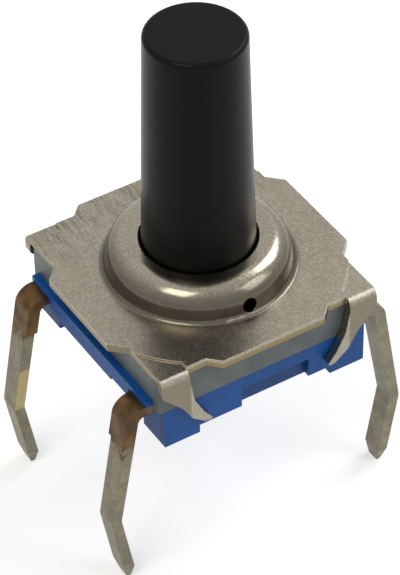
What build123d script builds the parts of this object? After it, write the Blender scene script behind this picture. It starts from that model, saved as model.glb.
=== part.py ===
from build123d import *
from math import atan2, cos, hypot, radians, sin, tan
import os

# Sealed through-hole tactile switch with a long plunger.
# Millimetres. +Z is up, z = 0 is the board surface the moulded feet stand on, and the
# plunger's axis is the Z axis. The legs leave the body on the two X sides; the cover's
# tabs fold down over the two Y sides.

# ---------------------------------------------------------------- driving sizes
pin_pitch = 5.08            # centre to centre of the two legs on one side
leg_width = 0.60            # leg, across Y
metal_t = 0.30              # terminal stock thickness
strip_extra = 0.12          # the strip is this much wider than the leg, on its inner side
leg_lean = 9.5              # degrees the upper leg splays outward
leg_below = 4.65            # leg tips, below the board surface
kink_depth = 2.36           # height of the snap-in kink, below the board surface
lower_lean = 10.0           # degrees the lower leg comes back inward

body_x = 6.10               # housing across X at the feet
corner_plastic = 0.34       # plastic outside the leg's outer edge, across Y
foot_height = 0.25
foot_x = 1.05
foot_y = 1.05
ledge_out = 0.35            # moulded ledge over the terminals, beyond the housing side
strip_z = 1.03              # underside of the terminal strips
ledge_cover = 0.17          # housing above the terminal strips
skirt_t = 0.30
skirt_drop = 0.25           # the seal reaches this far below the ledge's top on the two Y sides

seal_proud = 0.15           # seal beyond the housing, each X side
bowl_depth = 0.27           # cover underside above the seal's membrane

sheet_t = 0.25              # cover sheet
overhang_x = 0.45           # cover sheet beyond the seal, each X side
overhang_y = 0.40           # cover sheet beyond the housing, each Y side
corner_cut = 2.12           # 45 degree corner cut of the cover sheet
strip_inset = 0.41          # corner strip's outer edge, inside the cover's edge
strip_width = 0.82
coin_depth = 0.06           # corner strips are pressed this much lower than the land
coin_r = 3.88               # the pressing starts at this radius
strip_gap = 0.02            # folded tab to housing side
bend_r = 0.10               # inside radius of the folded tabs
tab_drop = 0.70             # straight part of the folded tab, below the cover sheet

stem_d = 3.00               # plunger where it passes the cover's collar
stem_taper = 1.55           # degrees each side
stem_top = 9.95             # height of the plunger's top
flange_out = 0.35           # retaining flange inside the collar, beyond the plunger
collar_clear = 0.04         # radial running clearance, plunger in collar
collar_h = 0.88             # height of the drawn collar above the cover sheet
collar_out = 1.00           # collar's foot beyond the plunger
collar_draft = 0.19         # collar's wall leans in by this much
vent_d = 0.40
shoulder_r = 0.60            # rounding at the top of the collar
window_in = 0.18            # depth of the recess low in each Y side

dome_d = 3.90
dome_t = 0.06
dome_rise = 0.42            # dome top above the contact plane
dome_room = 0.40            # contact well beyond the dome's rim
travel = 0.50               # full stroke of the plunger
film_t = 0.20               # seal membrane between plunger and dome
nub_h = 0.10                # nub under the membrane

# ---------------------------------------------------------------- derived sizes
leg_out = pin_pitch / 2 + leg_width / 2
leg_in = pin_pitch / 2 - leg_width / 2
strip_y = leg_in - strip_extra
half_y = leg_out + corner_plastic
half_x = body_x / 2
ledge_x = half_x + ledge_out
contact_z = strip_z + metal_t
ledge_top = contact_z + ledge_cover
skirt_z = ledge_top - skirt_drop
cavity_d = dome_d + 2 * dome_room
dome_top = contact_z + dome_rise
film_bottom = dome_top + nub_h
film_top = film_bottom + film_t
seal_top = film_top + bowl_depth
seal_x = body_x + 2 * seal_proud
tab_bottom = seal_top - tab_drop
land_top = seal_top + sheet_t
collar_top = land_top + collar_h
land_x = seal_x / 2 + overhang_x
land_y = half_y + overhang_y
strip_out = land_x - strip_inset
strip_in = strip_out - strip_width
stem_r = stem_d / 2
flange_d = stem_d + 2 * flange_out
collar_base_d = stem_d + 2 * collar_out
collar_top_d = collar_base_d - 2 * collar_draft
opening_r = stem_r + collar_clear
tab_in = half_y + strip_gap
tab_out = tab_in + sheet_t
tab_flat = tab_in - bend_r
notch_y = tab_flat + 0.16

os.makedirs("parts", exist_ok=True)


def rounded_outline(corners):
    """Closed outline through (x, y, r) corners, each rounded by its radius; used inside BuildLine."""
    n = len(corners)
    ends = []
    for i in range(n):
        x, y, r = corners[i]
        xp, yp = corners[i - 1][:2]
        xn, yn = corners[(i + 1) % n][:2]
        if r == 0:
            ends.append(((x, y), (x, y), None))
            continue
        a = atan2(yp - y, xp - x)
        b = atan2(yn - y, xn - x)
        half = (b - a) / 2
        reach = abs(r / tan(half))
        start = (x + reach * cos(a), y + reach * sin(a))
        stop = (x + reach * cos(b), y + reach * sin(b))
        mx, my = cos(a) + cos(b), sin(a) + sin(b)
        size = hypot(mx, my)
        out = abs(r / sin(half)) - r
        ends.append((start, stop, (x + out * mx / size, y + out * my / size)))
    for i in range(n):
        start, stop, mid = ends[i]
        if mid is not None:
            ThreePointArc(start, mid, stop)
        nxt = ends[(i + 1) % n][0]
        if hypot(nxt[0] - stop[0], nxt[1] - stop[1]) > 1e-6:
            Line(stop, nxt)


# ---------------------------------------------------------------- terminals
# Side view of one half of a terminal: flat strip, bend, splayed leg, snap-in kink, tip.
lean = radians(leg_lean)
back = radians(lower_lean)
bend_x = ledge_x + 0.08
bend_out_r = metal_t + 0.20
start_x = bend_x + bend_out_r * cos(lean)
start_z = contact_z - bend_out_r + bend_out_r * sin(lean)
kink_x = start_x + (start_z + kink_depth) * tan(lean)
tip_len = 0.42
tip_x = kink_x - (leg_below - tip_len - kink_depth) * tan(back)
in_x = metal_t / cos(lean)
corner_x = bend_x + bend_out_r * (cos(lean) - (1 - sin(lean)) * tan(lean))
leg_side = [
    (0, contact_z, 0),
    (corner_x, contact_z, bend_out_r),
    (kink_x, -kink_depth, 0.40),
    (tip_x, -leg_below + tip_len, 0.10),
    (tip_x - 0.13, -leg_below, 0),
    (tip_x - 0.25, -leg_below, 0),
    (tip_x - in_x, -leg_below + tip_len, 0.10),
    (kink_x - in_x, -kink_depth, 0.12),
    (corner_x - in_x - 0.005, strip_z, 0.20),
    (0, strip_z, 0),
]


def terminal_blank(side):
    """Bar across the housing with a bent leg at each end; side is +1 or -1 along Y."""
    with BuildPart() as blank:
        with BuildSketch(Plane.XZ.offset(-side * strip_y)):
            with BuildLine():
                rounded_outline(leg_side)
            make_face()
        extrude(amount=-side * (leg_out - strip_y))
        mirror(about=Plane.YZ)
        # the leg is narrower than the strip: step on its inner side
        with BuildSketch(Plane.XY.offset(0.20)):
            with Locations((0, side * (strip_y + strip_extra / 2 - 0.05))):
                Rectangle(3 * body_x, strip_extra + 0.10)
        extrude(amount=-leg_below - 1.0, mode=Mode.SUBTRACT)
        # tapered tips
        with BuildSketch(Plane.YZ):
            for edge, way in ((leg_in, 1), (leg_out, -1)):
                with BuildLine():
                    Polyline(
                        (side * (edge - way * 0.1), -leg_below + tip_len),
                        (side * edge, -leg_below + tip_len),
                        (side * (edge + way * 0.15), -leg_below - 0.1),
                        (side * (edge - way * 0.1), -leg_below - 0.1),
                        close=True,
                    )
                make_face()
        extrude(amount=2 * body_x, both=True, mode=Mode.SUBTRACT)
    return blank.part


with BuildPart() as terminal_centre:
    add(terminal_blank(1))
    # thin arm under the dome's rim, and the centre contact
    with BuildSketch(Plane.XY.offset(strip_z)):
        with Locations((0, strip_y / 2)):
            Rectangle(0.60, strip_y + 0.2)
    extrude(amount=metal_t / 2)
    with BuildSketch(Plane.XY.offset(strip_z)):
        Circle(0.50)
    extrude(amount=metal_t)

with BuildPart() as terminal_outer:
    add(terminal_blank(-1))
    # tongue that carries the dome's rim
    with BuildSketch(Plane.XY.offset(strip_z)):
        with Locations((0, -(strip_y + dome_d / 2 - 0.35) / 2)):
            Rectangle(1.20, strip_y - dome_d / 2 + 0.55)
    extrude(amount=metal_t)

# ---------------------------------------------------------------- housing
with BuildPart() as base_housing:
    with BuildSketch(Plane.XY.offset(foot_height)):
        Rectangle(2 * half_x, 2 * half_y)
    extrude(amount=contact_z - foot_height)
    # ledge over the terminals, and the side walls between them
    with BuildSketch(Plane.XY.offset(contact_z)):
        Rectangle(2 * ledge_x, 2 * half_y)
    extrude(amount=ledge_top - contact_z)
    with BuildSketch(Plane.XY.offset(strip_z)):
        Rectangle(2 * ledge_x, 2 * (strip_y - 0.10))
    extrude(amount=metal_t)
    # corner feet
    with BuildSketch(Plane.XY):
        with GridLocations(2 * half_x - foot_x, 2 * half_y - foot_y, 2, 2):
            Rectangle(foot_x, foot_y)
    extrude(amount=foot_height)
    # shoulders for the seal's skirt along the two Y sides
    with BuildSketch(Plane.XY.offset(skirt_z)):
        for s in (-1, 1):
            with Locations((0, s * (half_y - skirt_t / 2 + 0.05))):
                Rectangle(2 * ledge_x + 1, skirt_t + 0.10)
    extrude(amount=ledge_top, mode=Mode.SUBTRACT)
    # shallow window low in each Y side
    with BuildSketch(Plane.XY):
        for s in (-1, 1):
            with Locations((0.30, s * (half_y + 0.5 - window_in))):
                Rectangle(2.05, 1.0)
    extrude(amount=0.86, mode=Mode.SUBTRACT)
    # relief under one leg on each X side
    with BuildSketch(Plane.XY.offset(0.0)):
        for s in (-1, 1):
            with Locations((s * (half_x + 0.5 - 0.40), -1.25)):
                Rectangle(1.0, 1.50)
    extrude(amount=foot_height + 0.22, mode=Mode.SUBTRACT)
    # contact well under the dome
    with BuildSketch(Plane.XY.offset(contact_z)):
        Circle(cavity_d / 2)
    extrude(amount=ledge_top, mode=Mode.SUBTRACT)
    # the housing is moulded round the two terminals
    add(terminal_centre.part, mode=Mode.SUBTRACT)
    add(terminal_outer.part, mode=Mode.SUBTRACT)

# ---------------------------------------------------------------- dome
rim = dome_d / 2
out_rise = dome_rise - dome_t
ball_r = (rim * rim + out_rise * out_rise) / (2 * out_rise)
half_drop = ball_r - (ball_r * ball_r - rim * rim / 4) ** 0.5
with BuildPart() as snap_dome:
    with BuildSketch(Plane.XZ):
        with BuildLine():
            Line((0, dome_top - dome_t), (0, dome_top))
            ThreePointArc((0, dome_top), (rim / 2, dome_top - half_drop), (rim, contact_z + dome_t))
            Line((rim, contact_z + dome_t), (rim, contact_z))
            ThreePointArc((rim, contact_z), (rim / 2, dome_top - dome_t - half_drop), (0, dome_top - dome_t))
        make_face()
    revolve(axis=Axis.Z)

# ---------------------------------------------------------------- seal
with BuildPart() as seal:
    with BuildSketch(Plane.XY.offset(ledge_top)):
        Rectangle(seal_x, 2 * half_y)
    extrude(amount=seal_top - ledge_top)
    with BuildSketch(Plane.XY.offset(skirt_z)):
        for s in (-1, 1):
            with Locations((0, s * (half_y - skirt_t / 2))):
                Rectangle(seal_x, skirt_t)
    extrude(amount=ledge_top - skirt_z)
    # bowl above the membrane, and the dome's room below it
    with BuildSketch(Plane.XY.offset(film_top)):
        Circle(cavity_d / 2 - 0.15)
    extrude(amount=1.0, mode=Mode.SUBTRACT)
    with BuildSketch(Plane.XY.offset(ledge_top)):
        Circle(cavity_d / 2)
    extrude(amount=film_bottom - ledge_top, mode=Mode.SUBTRACT)
    with BuildSketch(Plane.XY.offset(dome_top)):
        Circle(0.45)
    extrude(amount=nub_h)
    fillet(seal.edges().filter_by(Axis.Z).group_by(SortBy.LENGTH)[-1], 0.12)

# ---------------------------------------------------------------- cover
with BuildPart() as corner_tab:
    # one corner strip, folded down over the housing's side
    with BuildSketch(Plane.YZ.offset(strip_in)):
        with BuildLine():
            rounded_outline([
                (tab_flat - 1.9, seal_top, 0),
                (tab_in, seal_top, bend_r),
                (tab_in, tab_bottom + 0.40, 0),
                (tab_out, tab_bottom + 0.40, 0),
                (tab_out, land_top, bend_r + sheet_t),
                (tab_flat - 1.9, land_top, 0),
            ])
        make_face()
    extrude(amount=strip_out - strip_in)
    # clinched prong: the tab's end swept towards the middle of the side
    with BuildSketch(Plane.XZ.offset(-tab_in)):
        with BuildLine():
            rounded_outline([
                (strip_in - 0.02, tab_bottom + 0.45, 0),
                (strip_in - 0.12, tab_bottom - 0.12, 0.3),
                (strip_in - 0.40, tab_bottom - 0.66, 0.3),
                (strip_in - 0.70, tab_bottom - 1.04, 0.05),
                (strip_in - 0.45, tab_bottom - 1.02, 0.2),
                (strip_in - 0.05, tab_bottom - 0.72, 0.3),
                (strip_in + 0.22, tab_bottom - 0.26, 0.2),
                (strip_out - 0.32, tab_bottom + 0.04, 0.3),
                (strip_out, tab_bottom + 0.36, 0.15),
                (strip_out, tab_bottom + 0.45, 0),
            ])
        make_face()
    extrude(amount=-sheet_t)

with BuildPart() as cover:
    # flat land with cut corners and a relief beside each folded strip
    with BuildSketch(Plane.XY.offset(seal_top)):
        with BuildLine():
            quarter = [
                (land_x, land_y - corner_cut),
                (strip_out - 0.01, land_y - corner_cut + land_x - strip_out + 0.01),
                (strip_out - 0.01, notch_y - 0.2),
                (strip_in, notch_y - 0.2),
                (strip_in, notch_y),
                (land_x - corner_cut + land_y - notch_y, notch_y),
                (land_x - corner_cut, land_y),
            ]
            ring = quarter
            ring = ring + [(-x, y) for x, y in reversed(quarter)]
            ring = ring + [(-x, -y) for x, y in quarter]
            ring = ring + [(x, -y) for x, y in reversed(quarter)]
            Polyline(*ring, close=True)
        make_face()
        Circle(collar_base_d / 2 + 0.38, mode=Mode.SUBTRACT)
    extrude(amount=sheet_t)
    # drawn collar
    with BuildSketch(Plane.XZ):
        with BuildLine():
            slope = (collar_base_d - collar_top_d) / 2 / collar_h
            wall_t = sheet_t * hypot(1, slope)
            foot_in = collar_base_d / 2 + slope * sheet_t - wall_t
            head_in = collar_top_d / 2 + slope * sheet_t - wall_t
            rounded_outline([
                (collar_base_d / 2 + 0.40, land_top, 0),
                (collar_base_d / 2, land_top, 0.14),
                (collar_top_d / 2, collar_top, shoulder_r),
                (opening_r, collar_top, 0.05),
                (opening_r, collar_top - sheet_t, 0.04),
                (head_in, collar_top - sheet_t, shoulder_r - sheet_t),
                (foot_in, seal_top, 0.30),
                (collar_base_d / 2 + 0.40, seal_top, 0),
            ])
        make_face()
    revolve(axis=Axis.Z)
    for flip_x in (False, True):
        for flip_y in (False, True):
            tab = corner_tab.part
            if flip_x:
                tab = mirror(tab, about=Plane.YZ, mode=Mode.PRIVATE)
            if flip_y:
                tab = mirror(tab, about=Plane.XZ, mode=Mode.PRIVATE)
            add(tab)
    # the corner strips are pressed a little lower than the land, outside a circle
    with BuildSketch(Plane.XY.offset(land_top - coin_depth)):
        with GridLocations(strip_in + strip_out, 2 * (land_y - corner_cut / 2), 2, 2):
            Rectangle(strip_width + 0.001, corner_cut + 0.6)
        Circle(coin_r, mode=Mode.SUBTRACT)
    extrude(amount=0.3, mode=Mode.SUBTRACT)
    # vent hole low in the collar's wall
    vent_plane = Plane(origin=(0, -collar_base_d / 2 + 0.12, land_top + 0.25), z_dir=(0, -1, slope))
    with BuildSketch(vent_plane):
        Circle(vent_d / 2)
    extrude(amount=0.6, both=True, mode=Mode.SUBTRACT)

# ---------------------------------------------------------------- plunger
with BuildPart() as button:
    with BuildSketch(Plane.XZ):
        with BuildLine():
            flange_top = collar_top - sheet_t - 0.02
            top_r = stem_r - (stem_top - collar_top) * tan(radians(stem_taper))
            low_r = stem_r + (collar_top - flange_top) * tan(radians(stem_taper)) * 0.5
            rounded_outline([
                (0, film_top, 0),
                (0.90, film_top, 0.10),
                (0.90, film_top + travel, 0),
                (flange_d / 2, film_top + travel, 0.08),
                (flange_d / 2, flange_top, 0.20),
                (low_r, flange_top, 0),
                (stem_r, collar_top, 0),
                (top_r, stem_top, 0.12),
                (0, stem_top, 0),
            ])
        make_face()
    revolve(axis=Axis.Z)

# ---------------------------------------------------------------- export
button.part.label = "button"
cover.part.label = "cover"
seal.part.label = "seal"
snap_dome.part.label = "snap_dome"
base_housing.part.label = "base_housing"
terminal_centre.part.label = "terminal_centre"
terminal_outer.part.label = "terminal_outer"
export_step(button.part, "parts/button.step")
export_step(cover.part, "parts/cover.step")
export_step(seal.part, "parts/seal.step")
export_step(snap_dome.part, "parts/snap_dome.step")
export_step(base_housing.part, "parts/base_housing.step")
export_step(terminal_centre.part, "parts/terminal_centre.step")
export_step(terminal_outer.part, "parts/terminal_outer.step")
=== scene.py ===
"""Sealed through-hole tactile switch with a long plunger: finishes, stage and camera."""
import math
from functools import partial

import bpy
from mathutils import Matrix, Vector


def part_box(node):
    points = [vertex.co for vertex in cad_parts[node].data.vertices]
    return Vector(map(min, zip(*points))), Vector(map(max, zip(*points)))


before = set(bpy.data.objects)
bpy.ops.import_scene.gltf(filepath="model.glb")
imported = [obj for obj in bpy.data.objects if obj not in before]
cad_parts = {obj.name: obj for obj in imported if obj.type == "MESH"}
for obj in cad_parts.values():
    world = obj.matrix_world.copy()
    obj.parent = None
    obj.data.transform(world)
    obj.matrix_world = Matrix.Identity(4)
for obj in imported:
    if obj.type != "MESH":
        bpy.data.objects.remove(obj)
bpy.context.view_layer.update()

bl_info = {
    "name": "Long-plunger tactile switch",
    "version": (1, 0, 0),
    "blender": (4, 5, 0),
    "location": "3D View > Sidebar > Switch",
    "description": "Gives the switch's pieces their finishes and sets up its stage",
    "category": "Object",
}

MM = 0.001
PER_MM = 1000.0             # object coordinates are metres; patterns are set in millimetres

# places on the switch, in millimetres, that the finishes follow
SHEET = 0.25                # thickness of the cover sheet
LAND_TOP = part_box("seal")[1][2] / MM + SHEET
HOUSING_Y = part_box("base_housing")[1][1] / MM
LEG_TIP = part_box("terminal_outer")[0][2]
LAND_IN = 3.0               # the flat land starts outside this radius
COLLAR_WALL = (1.95, 2.42)  # radii between which the collar turns from shoulder to wall
COLLAR_FOOT = (2.66, 2.54)  # radii between which the land turns into the wall
STRIP_IN = 2.42             # inner edge of the corner strips, across X
SCUFF_Y = (1.2, 3.0)        # scuffs grow towards the +Y edge of the land
RECESS_Y = HOUSING_Y - 0.10  # faces further in than this, low in each Y side, are in the recess
STAIN_X = (-3.2, -3.4)      # outside this, on the -X side, the bends are stained
STAIN_Z = (-0.15, 0.15)     # the stain ends here, raggedly
WORN_LOW = (-2.42, -2.34)   # lower and upper end of the worn stretch of one leg
WORN_HIGH = (-1.0, -1.15)

# second tones, each mixed into the main colour of its finish
COVER_CLOUD = "#A69F91"
COVER_SCUFF = "#5E584C"
# painted shade: darker tone on the collar's wall, standing in for its dark reflection
COVER_WALL_SHADE = "#474339"
COVER_RUBBED = "#6E6858"
PLUNGER_DUST = "#1E1D18"
HOUSING_CLOUD = "#04478A"
HOUSING_GRAIN = "#05335F"
# painted shade: darker blue in the recess in each Y side, standing in for the shade inside it
HOUSING_RECESS_SHADE = "#053468"
SEAL_CLOUD = "#5F6868"
LEG_BLOTCH = "#89846F"
LEG_SPECK = "#605C4C"
STAIN_LIGHT = "#6A4C2B"
DOME_ARC = "#A5A29A"
PAPER = ("#E6E6E4", "#E9E9E8")
WHITE = "#FFFFFF"


# settings that several nodes share
SMOOTH = {"interpolation_type": "SMOOTHSTEP"}       # a Map Range that eases in and out
TONES = {"data_type": "RGBA", "out": 2}             # a Mix of two colours: factor 0, colours 6 and 7


# ------------------------------------------------------------------ helpers
def linear(hex_colour):
    """Linear RGBA of an sRGB hex colour such as '#A49B88'."""
    rgb = [int(hex_colour[i:i + 2], 16) / 255 for i in (1, 3, 5)]
    return [c / 12.92 if c <= 0.04045 else ((c + 0.055) / 1.055) ** 2.4 for c in rgb] + [1.0]


def node(tree, kind, *values, inputs=None, out=0, **settings):
    """Adds a node and returns one of its outputs. Values go to its first inputs in order, inputs
    to those named; each is a number, a colour or the output that feeds it."""
    made = tree.nodes.new("ShaderNode" + kind)
    for key, setting in settings.items():
        setattr(made, key, setting)
    for key, value in [*enumerate(values), *(inputs or {}).items()]:
        if isinstance(value, bpy.types.NodeSocket):
            tree.links.new(value, made.inputs[key])
        else:
            made.inputs[key].default_value = value
    return made.outputs[out] if made.outputs else made


def new_material(name):
    """A material with no nodes, and the function that adds nodes to it."""
    material = bpy.data.materials.new(name)
    material.use_nodes = True
    material.node_tree.nodes.clear()
    return material, partial(node, material.node_tree)


def in_millimetres(add, stretch=(1, 1, 1), turn=0.0):
    """Object coordinates in millimetres, stretched and turned about Z for a pattern."""
    return add("Mapping", inputs={
        "Vector": add("TexCoord", out="Object"), "Rotation": (0, 0, math.radians(turn)),
        "Scale": [PER_MM * s for s in stretch]})


def both(add, first, *rest):
    """Where all of the masks are 1."""
    for mask in rest:
        first = add("Math", first, mask, operation="MULTIPLY")
    return first


def soft_edges(add, radius, height, depth_mm, strength):
    """Normal with rounded edges, and a relief of the given depth on top."""
    edge = add("Bevel", inputs={"Radius": radius}, samples=6)
    return add("Bump", inputs={
        "Strength": strength, "Distance": depth_mm * MM, "Height": height, "Normal": edge})


def finish(name, material):
    """Gives a CAD node its finish."""
    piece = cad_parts[name]
    piece.data.materials.clear()
    piece.data.materials.append(material)


# ------------------------------------------------------------------ properties
def colour(name, about, hex_colour):
    return bpy.props.FloatVectorProperty(
        name=name, description=about, subtype="COLOR", size=4, min=0, max=1, default=linear(hex_colour))


def length(name, about, millimetres):
    return bpy.props.FloatProperty(
        name=name, description=about, subtype="DISTANCE", unit="LENGTH", default=millimetres * MM, min=0)


class SwitchColours(bpy.types.PropertyGroup):
    cover: colour("Cover", "Satin face of the stamped cover", "#A8A192")
    cover_edge: colour("Cover edge", "Cut edge of the cover sheet", "#7A6B42")
    cover_dark: colour("Cover specks", "Fine dark specks of the rolled sheet", "#8B8476")
    plunger: colour("Plunger", "Black moulded plunger", "#080807")
    housing: colour("Housing", "Blue moulded housing", "#054E95")
    seal: colour("Seal", "Grey translucent seal", "#525B5C")
    leg: colour("Legs", "Dull tinned legs", "#777262")
    stain: colour("Stain", "Brown flux stain on two of the bends", "#3C2611")
    brass: colour("Leg core", "Cut edges of the legs, where the plating stops", "#B5A478")
    dome: colour("Dome", "Spring steel of the hidden dome", "#B9B6AE")


class SwitchSizes(bpy.types.PropertyGroup):
    edge: length("Edge rounding", "Rounding of stamped and moulded edges", 0.04)
    speck: length("Speck", "Size of the specks on the cover", 0.065)
    distance: length("Camera distance", "From the aim point to the camera", 76.701)
    floor: length("Floor", "Width of the floor", 900.0)


# ------------------------------------------------------------------ finishes
def sheet_metal(colours, sizes):
    """Nickel-plated brass sheet, rolled, then blanked and drawn: satin face with fine specks and
    rolling lines, brassy cut edges, scuffs where the tool held it."""
    material, add = new_material("nickel_plated_brass_stamped")
    mm = in_millimetres(add)
    x, y, z = (add("SeparateXYZ", mm, out=axis) for axis in "XYZ")
    facing = add("NewGeometry", out="Normal")
    facing_y = add("Math", add("SeparateXYZ", facing, out="Y"), operation="ABSOLUTE")
    facing_z = add("Math", add("SeparateXYZ", facing, out="Z"), operation="ABSOLUTE")
    radius = add("VectorMath", add("CombineXYZ", x, y), out="Value", operation="LENGTH")
    upright = add("MapRange", facing_z, 0.5, 0.2, **SMOOTH)
    outside = add("MapRange", radius, LAND_IN, LAND_IN + 0.2, **SMOOTH)

    # specks and clouds of the rolled sheet
    speck = add("TexNoise", inputs={"Vector": mm, "Scale": MM / sizes.speck, "Detail": 5, "Roughness": 0.75})
    cloud = add("TexNoise", inputs={"Vector": mm, "Scale": 0.9, "Detail": 3})
    tone = add("Mix", inputs={
        0: add("MapRange", speck, 0.42, 0.66, **SMOOTH),
        6: list(colours.cover_dark), 7: list(colours.cover)}, **TONES)
    faint = add("Math", add("MapRange", cloud, 0.35, 0.75, **SMOOTH), 0.35, operation="MULTIPLY")
    tone = add("Mix", inputs={0: faint, 6: tone, 7: linear(COVER_CLOUD)}, **TONES)

    # scuffs towards one side of the land, finer across than along
    lines = add("TexNoise", inputs={
        "Vector": in_millimetres(add, (20, 1.2, 8), -25), "Scale": 1.3, "Detail": 3, "Roughness": 0.6})
    scuffs = both(add, add("MapRange", y, *SCUFF_Y, **SMOOTH),
                  add("MapRange", lines, 0.50, 0.62, **SMOOTH), 0.62)
    tone = add("Mix", inputs={0: scuffs, 6: tone, 7: linear(COVER_SCUFF)}, **TONES)

    # cut edges show the brass, below the rolled-over top and not on the faces of the folded tabs
    across = add("Math", x, operation="ABSOLUTE")
    on_tab = both(add, add("MapRange", facing_y, 0.4, 0.6, **SMOOTH),
                  add("MapRange", across, STRIP_IN - 0.04, STRIP_IN + 0.02, **SMOOTH))
    cut = both(add, upright, outside,
               add("MapRange", z, LAND_TOP - 0.34, LAND_TOP - 0.26, **SMOOTH),
               add("MapRange", z, LAND_TOP - 0.06, LAND_TOP - 0.13, **SMOOTH),
               add("Math", 1.0, on_tab, operation="SUBTRACT"), 0.8)
    tone = add("Mix", inputs={0: cut, 6: tone, 7: list(colours.cover_edge)}, **TONES)

    # the folded tabs were rubbed dull by the clinching tool
    rubbed = both(add, upright, outside, on_tab, 0.75)
    tone = add("Mix", inputs={0: rubbed, 6: tone, 7: linear(COVER_RUBBED)}, **TONES)

    # painted shade: the collar's wall is darkened to stand in for the dark reflection it shows; the collar is
    # also made smoother than the land
    wall_shade = both(add, add("MapRange", radius, *COLLAR_WALL, **SMOOTH),
               add("MapRange", radius, *COLLAR_FOOT, **SMOOTH), 0.80)
    tone = add("Mix", inputs={0: wall_shade, 6: tone, 7: linear(COVER_WALL_SHADE)}, **TONES)
    smoother = add("Math", add("MapRange", radius, 2.62, 2.52, **SMOOTH), 0.09, operation="MULTIPLY")
    satin = add("Math", speck, 0.10, 0.23, operation="MULTIPLY_ADD")
    rough = add("Math", satin, smoother, operation="SUBTRACT")

    relief = add("Math", lines, 0.7, speck, operation="MULTIPLY_ADD")
    shader = add("BsdfPrincipled", inputs={
        "Base Color": tone, "Metallic": 1.0, "Roughness": rough,
        "Normal": soft_edges(add, sizes.edge, relief, 0.003, 0.22)})
    add("OutputMaterial", shader)
    return material


def moulded_black(colours, sizes):
    """Glass-filled nylon, moulded black: half-gloss, faint orange peel, a hint of olive."""
    material, add = new_material("black_nylon_moulded")
    mm = in_millimetres(add)
    peel = add("TexNoise", inputs={"Vector": mm, "Scale": 6.0, "Detail": 3})
    dust = add("TexNoise", inputs={"Vector": mm, "Scale": 14.0, "Detail": 4, "Roughness": 0.7})
    tone = add("Mix", inputs={
        0: add("MapRange", dust, 0.62, 0.80, **SMOOTH),
        6: list(colours.plunger), 7: linear(PLUNGER_DUST)}, **TONES)
    shader = add("BsdfPrincipled", inputs={
        "Base Color": tone, "Roughness": add("Math", peel, 0.10, 0.27, operation="MULTIPLY_ADD"),
        "IOR": 1.5, "Specular IOR Level": 0.09,
        "Normal": soft_edges(add, sizes.edge, peel, 0.006, 0.35)})
    add("OutputMaterial", shader)
    return material


def moulded_blue(colours, sizes):
    """Nylon, moulded blue: fine spark-eroded grain, slightly uneven colour."""
    material, add = new_material("blue_nylon_moulded")
    mm = in_millimetres(add)
    grain = add("TexNoise", inputs={"Vector": mm, "Scale": 16.0, "Detail": 4, "Roughness": 0.6})
    cloud = add("TexNoise", inputs={"Vector": mm, "Scale": 0.8, "Detail": 2})
    tone = add("Mix", inputs={
        0: add("MapRange", cloud, 0.3, 0.7, **SMOOTH),
        6: list(colours.housing), 7: linear(HOUSING_CLOUD)}, **TONES)
    pits = add("Math", add("MapRange", grain, 0.55, 0.8, **SMOOTH), 0.35, operation="MULTIPLY")
    tone = add("Mix", inputs={0: pits, 6: tone, 7: linear(HOUSING_GRAIN)}, **TONES)

    # painted shade: faces in the recess in each Y side are darkened to stand in for the shade inside it
    depth = add("Math", add("SeparateXYZ", mm, out="Y"), operation="ABSOLUTE")
    recess_shade = both(add, add("MapRange", depth, RECESS_Y + 0.02, RECESS_Y - 0.02, **SMOOTH),
                  add("MapRange", depth, RECESS_Y - 0.16, RECESS_Y - 0.12, **SMOOTH), 0.7)
    tone = add("Mix", inputs={0: recess_shade, 6: tone, 7: linear(HOUSING_RECESS_SHADE)}, **TONES)
    shader = add("BsdfPrincipled", inputs={
        "Base Color": tone, "Roughness": 0.46, "IOR": 1.53, "Specular IOR Level": 0.22,
        "Normal": soft_edges(add, sizes.edge, grain, 0.006, 0.4)})
    add("OutputMaterial", shader)
    return material


def milky_rubber(colours, sizes):
    """Silicone rubber, moulded, grey and milky: light soaks in a little, dull sheen."""
    material, add = new_material("silicone_rubber_moulded")
    mm = in_millimetres(add)
    cloud = add("TexNoise", inputs={"Vector": mm, "Scale": 1.6, "Detail": 3})
    grain = add("TexNoise", inputs={"Vector": mm, "Scale": 18.0, "Detail": 3})
    tone = add("Mix", inputs={
        0: add("MapRange", cloud, 0.3, 0.7, **SMOOTH),
        6: list(colours.seal), 7: linear(SEAL_CLOUD)}, **TONES)
    shader = add("BsdfPrincipled", inputs={
        "Base Color": tone, "Roughness": 0.42, "IOR": 1.41,
        "Subsurface Weight": 0.25, "Subsurface Scale": 0.3 * MM,
        "Normal": soft_edges(add, sizes.edge, grain, 0.004, 0.3)})
    add("OutputMaterial", shader)
    return material


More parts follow.
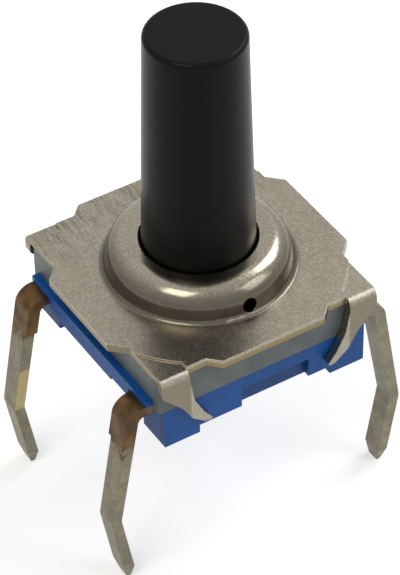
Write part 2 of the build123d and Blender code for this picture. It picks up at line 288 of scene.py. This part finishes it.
def tinned_leg(colours, sizes):
    """Brass strip, tin plated, blanked and bent: dull grey with blotches, worn yellow on one cut
    side, brown flux stain burnt on to the bends on the -X side."""
    material, add = new_material("tinned_brass_bent")
    mm = in_millimetres(add)
    x, y, z = (add("SeparateXYZ", mm, out=axis) for axis in "XYZ")
    blotch = add("TexNoise", inputs={"Vector": mm, "Scale": 2.4, "Detail": 4, "Roughness": 0.6})
    speck = add("TexNoise", inputs={"Vector": mm, "Scale": 13.0, "Detail": 4, "Roughness": 0.7})
    tone = add("Mix", inputs={
        0: add("MapRange", blotch, 0.35, 0.7, **SMOOTH),
        6: list(colours.leg), 7: linear(LEG_BLOTCH)}, **TONES)
    spots = add("Math", add("MapRange", speck, 0.48, 0.72, **SMOOTH), 0.7, operation="MULTIPLY")
    tone = add("Mix", inputs={0: spots, 6: tone, 7: linear(LEG_SPECK)}, **TONES)

    # plating rubbed through on the cut side of one leg, just above the kink
    facing_y = add("SeparateXYZ", add("NewGeometry", out="Normal"), out="Y")
    on_minus_x = add("MapRange", x, *STAIN_X, **SMOOTH)
    worn = both(add, add("MapRange", add("Math", facing_y, operation="ABSOLUTE"), 0.75, 0.95, **SMOOTH),
                on_minus_x, add("MapRange", y, 0.0, 0.5, **SMOOTH),
                add("MapRange", z, *WORN_LOW, **SMOOTH), add("MapRange", z, *WORN_HIGH, **SMOOTH), 0.8)
    tone = add("Mix", inputs={0: worn, 6: tone, 7: list(colours.brass)}, **TONES)

    # flux stain over the bends, ending raggedly just below the shoulder
    ragged = add("TexNoise", inputs={"Vector": mm, "Scale": 3.2, "Detail": 4, "Roughness": 0.65})
    uneven = add("Math", ragged, 0.5, operation="SUBTRACT")
    level = add("Math", uneven, 1.1, z, operation="MULTIPLY_ADD")
    stained = both(add, add("MapRange", level, *STAIN_Z, **SMOOTH), on_minus_x, 0.88)
    depth = add("TexNoise", inputs={"Vector": mm, "Scale": 2.2, "Detail": 4})
    brown = add("Mix", inputs={
        0: add("MapRange", depth, 0.30, 0.75, **SMOOTH),
        6: list(colours.stain), 7: linear(STAIN_LIGHT)}, **TONES)
    tone = add("Mix", inputs={0: stained, 6: tone, 7: brown}, **TONES)
    shader = add("BsdfPrincipled", inputs={
        "Base Color": tone, "Metallic": 1.0,
        "Roughness": add("Math", speck, 0.22, 0.36, operation="MULTIPLY_ADD"),
        "Normal": soft_edges(add, sizes.edge, speck, 0.006, 0.5)})
    add("OutputMaterial", shader)
    return material


def dome_steel(colours):
    """Stainless spring steel, formed: bright with fine arcs from the press."""
    material, add = new_material("stainless_spring_steel_formed")
    arcs = add("TexNoise", inputs={"Vector": in_millimetres(add), "Scale": 8.0, "Detail": 3})
    tone = add("Mix", inputs={
        0: add("MapRange", arcs, 0.4, 0.7, **SMOOTH),
        6: list(colours.dome), 7: linear(DOME_ARC)}, **TONES)
    add("OutputMaterial", add("BsdfPrincipled", inputs={
        "Base Color": tone, "Metallic": 1.0, "Roughness": 0.24}))
    return material


# ------------------------------------------------------------------ operators
class SWITCH_OT_cover(bpy.types.Operator):
    """Stamped and drawn cover"""
    bl_idname = "switch.cover"
    bl_label = "Cover"

    def execute(self, context):
        finish("cover", sheet_metal(context.scene.switch_colours, context.scene.switch_sizes))
        return {"FINISHED"}


class SWITCH_OT_plunger(bpy.types.Operator):
    """Long moulded plunger"""
    bl_idname = "switch.plunger"
    bl_label = "Plunger"

    def execute(self, context):
        finish("button", moulded_black(context.scene.switch_colours, context.scene.switch_sizes))
        return {"FINISHED"}


class SWITCH_OT_housing(bpy.types.Operator):
    """Moulded housing and the seal above it"""
    bl_idname = "switch.housing"
    bl_label = "Housing and seal"

    def execute(self, context):
        colours, sizes = context.scene.switch_colours, context.scene.switch_sizes
        finish("base_housing", moulded_blue(colours, sizes))
        finish("seal", milky_rubber(colours, sizes))
        return {"FINISHED"}


class SWITCH_OT_contacts(bpy.types.Operator):
    """Legs and the dome between their contacts"""
    bl_idname = "switch.contacts"
    bl_label = "Legs and dome"

    def execute(self, context):
        colours, sizes = context.scene.switch_colours, context.scene.switch_sizes
        legs = tinned_leg(colours, sizes)
        finish("terminal_centre", legs)
        finish("terminal_outer", legs)
        finish("snap_dome", dome_steel(colours))
        return {"FINISHED"}


class SWITCH_OT_stage(bpy.types.Operator):
    """Pale floor, soft lamps and the camera"""
    bl_idname = "switch.stage"
    bl_label = "Stage"

    azimuth = math.radians(-121.534)
    elevation = math.radians(42.124)
    roll = -0.0163
    aim = Vector((-1.3829, -2.2830, 4.0)) * MM
    lens_mm = 192.119
    lamps = (
        # azimuth, elevation (degrees), distance, width (mm), power (W), colour
        ("lamp_key", -158, 60, 110, 45, 0.036, "#FFF8EE"),
        ("lamp_side", -45, 38, 120, 60, 0.028, "#F4F7FF"),
        ("lamp_back", 12, 46, 110, 45, 0.040, "#FFFFFF"),
    )

    def seen(self, add):
        """1 for what is seen straight, in a reflection or through something clear."""
        seen = [add("LightPath", out=ray) for ray in ("Is Camera Ray", "Is Glossy Ray", "Is Transmission Ray")]
        return add("Math", seen[0], add("Math", seen[1], seen[2], operation="MAXIMUM"), operation="MAXIMUM")

    def floor(self, context):
        bpy.ops.object.select_all(action="DESELECT")
        bpy.ops.mesh.primitive_plane_add(size=context.scene.switch_sizes.floor, location=(0, 0, LEG_TIP))
        floor = context.object
        floor.name = "floor"
        bpy.ops.object.mode_set(mode="EDIT")
        bpy.ops.mesh.select_all(action="SELECT")
        bpy.ops.mesh.subdivide(number_cuts=3)
        bpy.ops.object.mode_set(mode="OBJECT")
        bpy.ops.object.transform_apply(location=True, rotation=True, scale=True)
        material, add = new_material("white_paper_matt")
        fibre = add("TexNoise", inputs={"Vector": in_millimetres(add), "Scale": 0.8, "Detail": 3})
        paper = add("BsdfDiffuse", inputs={"Color": add("Mix", inputs={
            0: fibre, 6: linear(PAPER[0]), 7: linear(PAPER[1])}, **TONES)})
        glow = add("Emission", inputs={
            "Color": linear(WHITE), "Strength": add("Math", self.seen(add), 0.42, operation="MULTIPLY")})
        add("OutputMaterial", add("AddShader", paper, glow))
        floor.data.materials.append(material)

    def world(self, context):
        world = bpy.data.worlds.new("white_room")
        context.scene.world = world
        world.use_nodes = True
        world.node_tree.nodes.clear()
        add = partial(node, world.node_tree)
        strength = add("Math", self.seen(add), 0.55, 0.45, operation="MULTIPLY_ADD")
        add("OutputWorld", add("Background", inputs={"Color": linear(WHITE), "Strength": strength}))

    def lamp(self, context, name, azimuth, elevation, distance, width, power, hex_colour):
        a, e = math.radians(azimuth), math.radians(elevation)
        way = Vector((math.cos(a) * math.cos(e), math.sin(a) * math.cos(e), math.sin(e)))
        bpy.ops.object.light_add(type="AREA", location=way * distance * MM)
        lamp = context.object
        lamp.name = name
        lamp.rotation_euler = way.to_track_quat("Z", "Y").to_euler()
        lamp.data.size = width * MM
        lamp.data.energy = power
        lamp.data.color = linear(hex_colour)[:3]

    def camera(self, context):
        back = Vector((math.cos(self.azimuth) * math.cos(self.elevation),
                       math.sin(self.azimuth) * math.cos(self.elevation), math.sin(self.elevation)))
        bpy.ops.object.camera_add(location=self.aim + back * context.scene.switch_sizes.distance)
        camera = context.object
        camera.name = "camera"
        right = Vector((0, 0, 1)).cross(back).normalized()
        down = right.cross(back)
        turned = math.cos(self.roll) * right - math.sin(self.roll) * down
        up = -(math.sin(self.roll) * right + math.cos(self.roll) * down)
        camera.rotation_euler = Matrix((turned, up, back)).transposed().to_euler()
        camera.data.lens = self.lens_mm
        camera.data.sensor_width = 36.0
        camera.data.clip_start = 1 * MM
        camera.data.clip_end = 10.0
        context.scene.camera = camera

    def execute(self, context):
        self.floor(context)
        self.world(context)
        for lamp in self.lamps:
            self.lamp(context, *lamp)
        self.camera(context)
        context.scene.view_settings.view_transform = "Standard"
        return {"FINISHED"}


OPERATORS = (SWITCH_OT_cover, SWITCH_OT_plunger, SWITCH_OT_housing, SWITCH_OT_contacts, SWITCH_OT_stage)


class SWITCH_PT_panel(bpy.types.Panel):
    """Buttons for each group of pieces, and their colours and sizes"""
    bl_idname = "SWITCH_PT_panel"
    bl_label = "Tactile switch"
    bl_space_type = "VIEW_3D"
    bl_region_type = "UI"
    bl_category = "Switch"

    def draw(self, context):
        for operator in OPERATORS:
            self.layout.operator(operator.bl_idname)
        for group in (context.scene.switch_colours, context.scene.switch_sizes):
            for key in group.__annotations__:
                self.layout.prop(group, key)


CLASSES = (SwitchColours, SwitchSizes) + OPERATORS + (SWITCH_PT_panel,)


def register():
    for item in CLASSES:
        bpy.utils.register_class(item)
    bpy.types.Scene.switch_colours = bpy.props.PointerProperty(type=SwitchColours)
    bpy.types.Scene.switch_sizes = bpy.props.PointerProperty(type=SwitchSizes)


def unregister():
    del bpy.types.Scene.switch_sizes
    del bpy.types.Scene.switch_colours
    for item in reversed(CLASSES):
        bpy.utils.unregister_class(item)


def main():
    register()
    for make in (bpy.ops.switch.cover, bpy.ops.switch.plunger, bpy.ops.switch.housing,
                 bpy.ops.switch.contacts, bpy.ops.switch.stage):
        make()


if __name__ == "__main__":
    main()
